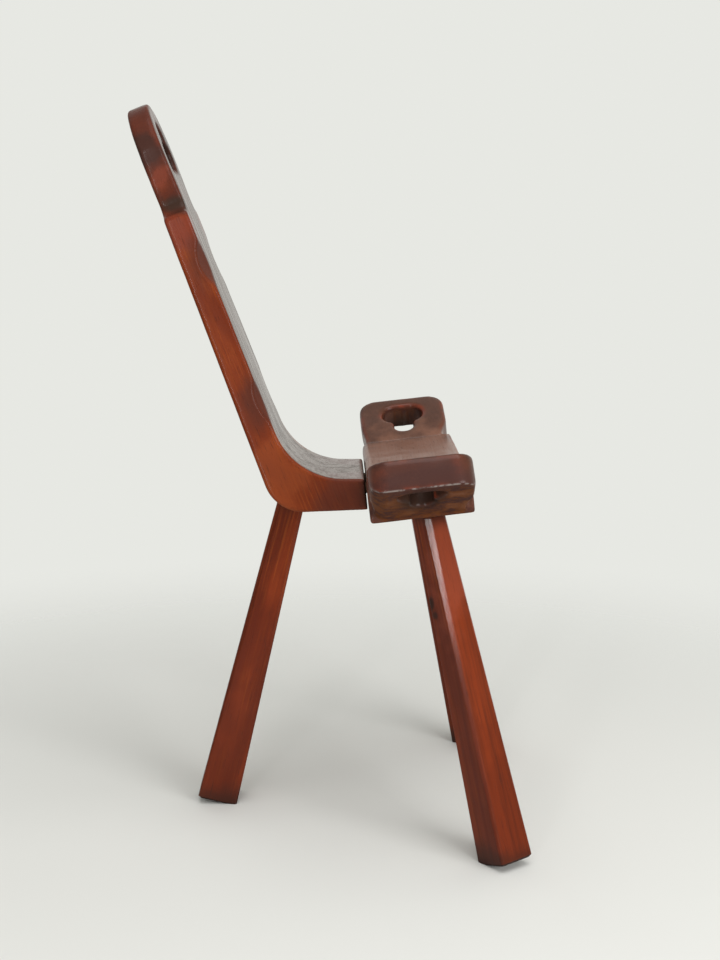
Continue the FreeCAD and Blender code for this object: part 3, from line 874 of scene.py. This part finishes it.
@dataclass
class Leg(WoodPiece):
    """One tapered leg.

    end is how much of each end of the leg is looked at to find its line.
    """

    end: float = 0.02

    def grain(self) -> Grain:
        """Finds the leg's line.

        Returns:
            Fibres along the leg, from its foot to its tenon.
        """
        points = [vertex.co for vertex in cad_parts[self.node].data.vertices]
        low = min(point.z for point in points)
        high = max(point.z for point in points)
        feet = [point for point in points if point.z < low + self.end]
        tops = [point for point in points if point.z > high - self.end]
        foot = sum(feet, Vector()) / len(feet)
        top = sum(tops, Vector()) / len(tops)
        return Grain(start=tuple(foot), along=tuple(top - foot))


@dataclass
class Dowels(WoodPiece):
    """The hidden dowels across the joint of plank and yoke."""

    def grain(self) -> Grain:
        """Returns fibres along the dowels."""
        return Grain(start=(0.0, 0.0, 0.378), along=(1.0, 0.0, 0.0))


@dataclass(frozen=True)
class Lamp:
    """A flat lamp that points at the seat.

    size is its width and height in metres, and power is in watts.
    """

    name: str
    place: Place
    size: tuple[float, float]
    power: float

    def build(self) -> None:
        """Adds the lamp, which the camera doesn't see."""
        data = bpy.data.lights.new(self.name, "AREA")
        data.shape = "RECTANGLE"
        data.size, data.size_y = self.size
        data.energy = self.power
        lamp = bpy.data.objects.new(self.name, data)
        bpy.context.scene.collection.objects.link(lamp)
        lamp.location = self.place
        aim = Vector((0.0, 0.0, SEAT_HEIGHT)) - Vector(self.place)
        lamp.rotation_euler = aim.to_track_quat("-Z", "Y").to_euler()
        lamp.visible_camera = False


@dataclass
class Studio:
    """Pale floor, even sky light and soft lamps."""

    floor_half: float = 6.0
    floor_colour: Colour = (0.78, 0.78, 0.75)
    # Distances from the chair's middle between which the floor fades.
    floor_fade: Step = (0.35, 1.3)
    sky_colour: Colour = (0.80, 0.808, 0.768)
    sky_front: float = 0.32
    sky_behind: float = 1.0
    # Backward part of a direction in which the sky goes from front to behind.
    sky_step: Step = (0.0, 0.7)
    lamps: tuple[Lamp, ...] = (
        Lamp("key", place=(1.8, -2.2, 0.95), size=(1.5, 1.5), power=50.0),
        Lamp("top", place=(0.3, -0.9, 2.8), size=(2.2, 2.2), power=42.0),
        Lamp("strip", place=(-0.73, -2.4, 0.25), size=(0.05, 1.6), power=16.0),
    )

    def build(self) -> None:
        """Adds the floor, the sky and the lamps."""
        self._add_floor()
        self._add_sky()
        for lamp in self.lamps:
            lamp.build()

    def _add_floor(self) -> None:
        """Adds a floor that fades into the backdrop."""
        mesh = bpy.data.meshes.new("floor")
        shape = bmesh.new()
        bmesh.ops.create_grid(shape, x_segments=1, y_segments=1, size=self.floor_half)
        shape.to_mesh(mesh)
        shape.free()
        floor = bpy.data.objects.new("floor", mesh)
        bpy.context.scene.collection.objects.link(floor)
        paint = bpy.data.materials.new("floor_paint")
        recipe = Recipe(paint)
        spot = recipe.add("ShaderNodeTexCoord", output="Object")
        far = recipe.fade(recipe.length(spot), self.floor_fade)
        matt = recipe.add("ShaderNodeBsdfDiffuse", None, {"Color": solid_colour(self.floor_colour)})
        clear = recipe.add("ShaderNodeBsdfTransparent")
        recipe.finish(recipe.add("ShaderNodeMixShader", None, {0: far, 1: matt, 2: clear}))
        mesh.materials.append(paint)

    def _add_sky(self) -> None:
        """Adds a sky that is plain to the camera and dimmer from the front."""
        sky = bpy.data.worlds.new("studio_sky")
        recipe = Recipe(sky)
        way = recipe.add("ShaderNodeTexCoord", output="Generated")
        behind = recipe.fade(recipe.part(way, "Y"), self.sky_step)
        light = behind * (self.sky_behind - self.sky_front) + self.sky_front
        seen = recipe.add("ShaderNodeLightPath", output="Is Camera Ray")
        strength = seen + (1.0 - seen) * light
        paint = {"Color": solid_colour(self.sky_colour), "Strength": strength}
        recipe.finish(recipe.add("ShaderNodeBackground", None, paint))
        bpy.context.scene.world = sky


@dataclass
class PhotoCamera:
    """Camera at the photograph's view.

    down and right are its turns from straight ahead in degrees, and lens is in millimetres.
    """

    place: Place = (0.0108, -1.7461, 0.6907)
    down: float = 10.048
    right: float = 0.878
    lens: float = 58.13

    def build(self) -> None:
        """Adds the camera and makes it the scene's own."""
        data = bpy.data.cameras.new("photo_camera")
        data.lens = self.lens
        camera = bpy.data.objects.new("photo_camera", data)
        bpy.context.scene.collection.objects.link(camera)
        camera.location = self.place
        camera.rotation_euler = (math.radians(LEVEL - self.down), 0.0, math.radians(-self.right))
        bpy.context.scene.camera = camera


PLANK_WOOD = StainedWood(
    "plank_stain",
    deep=(0.13, 0.020, 0.006),
    body=(0.275, 0.047, 0.009),
    pale=(0.40, 0.095, 0.017),
    worn=(0.13, 0.024, 0.010),
    grime_and_shade=(0.028, 0.012, 0.008),
    under=(0.20, 0.05, 0.018),
    sat_on=(0.092, 0.042, 0.021),
    roughness=0.34,
    shine=0.07,
    coat=0.8,
    side_coat=0.14,
    square_on=0.25,
    layers=150.0,
    wear=0.9,
)
YOKE_WOOD = StainedWood(
    "yoke_stain",
    deep=(0.050, 0.018, 0.014),
    body=(0.095, 0.030, 0.018),
    pale=(0.16, 0.052, 0.027),
    worn=(0.33, 0.055, 0.022),
    grime_and_shade=(0.022, 0.012, 0.009),
    under=(0.125, 0.037, 0.007),
    sat_on=(0.088, 0.032, 0.018),
    line_depth=0.3,
    roughness=0.40,
    shine=0.08,
    coat=0.38,
    side_coat=0.8,
    layers=90.0,
    wear=0.75,
    scuff_and_glint_share=0.8,
    scuff_and_glint_beyond=0.226,
    matt_edges=0.2,
    bare_under=1.0,
)
LEG_WOOD = StainedWood(
    "leg_stain",
    deep=(0.095, 0.014, 0.005),
    body=(0.215, 0.034, 0.009),
    pale=(0.34, 0.080, 0.015),
    worn=(0.40, 0.08, 0.03),
    grime_and_shade=(0.03, 0.012, 0.008),
    under=(0.10, 0.02, 0.008),
    sat_on=(0.215, 0.034, 0.009),
    shine=0.05,
    coat=0.2,
    coat_rough=0.09,
    side_coat=1.0,
    line_depth=0.8,
    soft_edge=0.005,
    layers=110.0,
    wear=0.3,
    matt_edges=0.0,
)
DOWEL_WOOD = StainedWood(
    "bare_wood",
    deep=(0.40, 0.27, 0.15),
    body=(0.52, 0.38, 0.23),
    pale=(0.62, 0.48, 0.31),
    worn=(0.66, 0.52, 0.36),
    grime_and_shade=(0.22, 0.14, 0.08),
    under=(0.50, 0.36, 0.22),
    sat_on=(0.52, 0.38, 0.23),
    roughness=0.6,
    coat=0.0,
)


def plank() -> BackPlank:
    """Describes the plank, dark at its head, scallops and seat end, with painted shade at its neck and in
    its head's hole, and a painted sheen on its head.

    Returns:
        The plank.
    """
    head = Stain(
        Region(middle=(-0.185, 0.03, 0.765), reach=(0.16, 0.12, 0.105)),
        paint=(0.085, 0.026, 0.018),
        share=0.85,
    )
    # Painted shade in the cove below the head.
    neck = Stain(
        Region(middle=(-0.155, 0.055, 0.690), reach=(0.04, 0.03, 0.014), ragged=0.3),
        paint=(0.04, 0.024, 0.017),
        share=0.9,
    )
    seat_end = Stain(
        Region(middle=(0.05, 0.06, 0.38), reach=(0.085, 0.06, 0.06)),
        paint=(0.10, 0.026, 0.016),
        share=0.75,
    )
    # Painted reddish sheen on the side of the head.
    sheen = Stain(
        Region(middle=(-0.178, 0.05, 0.718), reach=(0.014, 0.03, 0.016), ragged=1.2),
        paint=(0.26, 0.055, 0.028),
        share=0.5,
    )
    smoke = Stain(
        Region(middle=(-0.193, 0.05, 0.748), reach=(0.024, 0.03, 0.024), ragged=0.8),
        paint=(0.042, 0.024, 0.020),
        share=0.7,
    )
    shoulder = Stain(
        Region(middle=(-0.152, 0.06, 0.662), reach=(0.05, 0.04, 0.03), ragged=0.4),
        paint=(0.17, 0.036, 0.024),
        share=0.65,
    )
    bend = Stain(
        Region(middle=(-0.06, 0.072, 0.40), reach=(0.055, 0.03, 0.055), ragged=0.7),
        paint=(0.38, 0.085, 0.022),
        share=0.3,
    )
    # Painted shade inside the head's hole.
    head_hole_shade = Stain(
        Region(middle=(-0.18, 0.02, 0.745), reach=(0.08, 0.028, 0.045), ragged=0.2),
        paint=(0.03, 0.016, 0.012),
        share=0.85,
    )
    scallop_middles = ((-0.0727, 0.062, 0.481), (-0.1335, 0.0535, 0.634))
    scallops = [
        Stain(
            Region(middle=middle, reach=(0.03, 0.02, 0.05), ragged=0.2),
            paint=(0.075, 0.022, 0.014),
            share=0.75,
        )
        for middle in scallop_middles
    ]
    round_head = Rub(Region(middle=(-0.19, 0.0, 0.76), reach=(0.15, 0.15, 0.12)), rounds=12)
    return BackPlank(
        "back_plank",
        PLANK_WOOD,
        (head, neck, seat_end, sheen, smoke, shoulder, bend, head_hole_shade, *scallops),
        slot="plank_wood",
        lean=BACK_LEAN,
        rubs=(round_head,),
        dent=0.0003,
    )


def yoke() -> SeatYoke:
    """Describes the yoke, dull and lighter on the seat, partly as painted sheen, dark at the wings' tips,
    and with painted shade in the hand-holds.

    Returns:
        The yoke.
    """
    # Middle of the wings from back to front.
    middle_x = 0.0964
    # Lighter mauve over the seat: partly the wood's own tone, partly painted sheen.
    seat = Stain(
        Region(middle=(middle_x, 0.0, 0.41), reach=(0.12, 0.245, 0.05)),
        paint=(0.27, 0.115, 0.068),
        share=0.7,
    )
    tip = Stain(
        Region(middle=(middle_x, 0.262, 0.43), reach=(0.12, 0.035, 0.06), ragged=0.3),
        paint=(0.066, 0.026, 0.021),
        share=0.85,
    )
    # Painted shade inside the hand-holds.
    bore_shade = Stain(
        Region(middle=(middle_x, 0.205, 0.403), reach=(0.032, 0.058, 0.036), ragged=0.2),
        paint=(0.022, 0.012, 0.008),
        share=0.85,
    )
    wing = Rub(Region(middle=(middle_x, 0.225, 0.43), reach=(0.11, 0.07, 0.09)), rounds=14)
    hold = Rub(Region(middle=(middle_x, 0.2055, 0.42), reach=(0.032, 0.032, 0.05)), rounds=22)
    return SeatYoke(
        "seat_yoke",
        YOKE_WOOD,
        (seat, tip, bore_shade),
        slot="yoke_wood",
        lean=SEAT_TILT,
        rubs=(wing, hold),
    )


def legs() -> list[Leg]:
    """Describes the legs, dark at their feet, with two knots in the right front one.

    Returns:
        The rear leg, the right front leg and the left front leg.
    """
    # Reach across the floor that takes in every leg.
    wide = 2.0
    low_stain = Stain(
        Region(middle=(0.0, 0.0, 0.0), reach=(wide, wide, 0.2), ragged=0.4),
        paint=(0.09, 0.014, 0.005),
        share=0.45,
    )
    # Darker at the very bottom of each leg.
    foot_dark = Stain(
        Region(middle=(0.0, 0.0, 0.0), reach=(wide, wide, 0.03), ragged=0.4),
        paint=(0.05, 0.014, 0.008),
        share=0.65,
    )
    # Painted light: paler red near the tops of the front legs, where the yoke shades them.
    painted_top_light = Stain(
        Region(middle=(0.132, 0.127, 0.345), reach=(0.03, 0.07, 0.16), ragged=0.6),
        paint=(0.30, 0.062, 0.030),
        share=0.55,
    )
    long_knot = Stain(
        Region(middle=(0.1134, 0.1307, 0.2685), reach=(0.008, 0.008, 0.013), ragged=0.3),
        paint=(0.016, 0.008, 0.005),
        share=0.85,
    )
    short_knot = Stain(
        Region(middle=(0.1175, 0.1360, 0.2580), reach=(0.008, 0.008, 0.007), ragged=0.3),
        paint=(0.02, 0.009, 0.006),
        share=0.75,
    )
    rear = (low_stain, foot_dark)
    front = (*rear, painted_top_light)
    return [
        Leg("rear_leg", LEG_WOOD, rear),
        Leg("front_leg_right", LEG_WOOD, (*front, long_knot, short_knot)),
        Leg("front_leg_left", LEG_WOOD, front),
    ]


def chair() -> list[WoodPiece]:
    """Returns the chair's pieces in the order they are dressed."""
    return [plank(), yoke(), *legs(), Dowels("seat_dowels", DOWEL_WOOD)]


def main() -> None:
    """Builds and dresses the chair, then the studio and the camera."""
    logging.basicConfig(level=logging.INFO, format="%(name)s: %(message)s")
    bpy.context.scene.view_settings.view_transform = "Standard"
    for piece in chair():
        piece.dress()
    Studio().build()
    PhotoCamera().build()


if __name__ == "__main__":
    main()
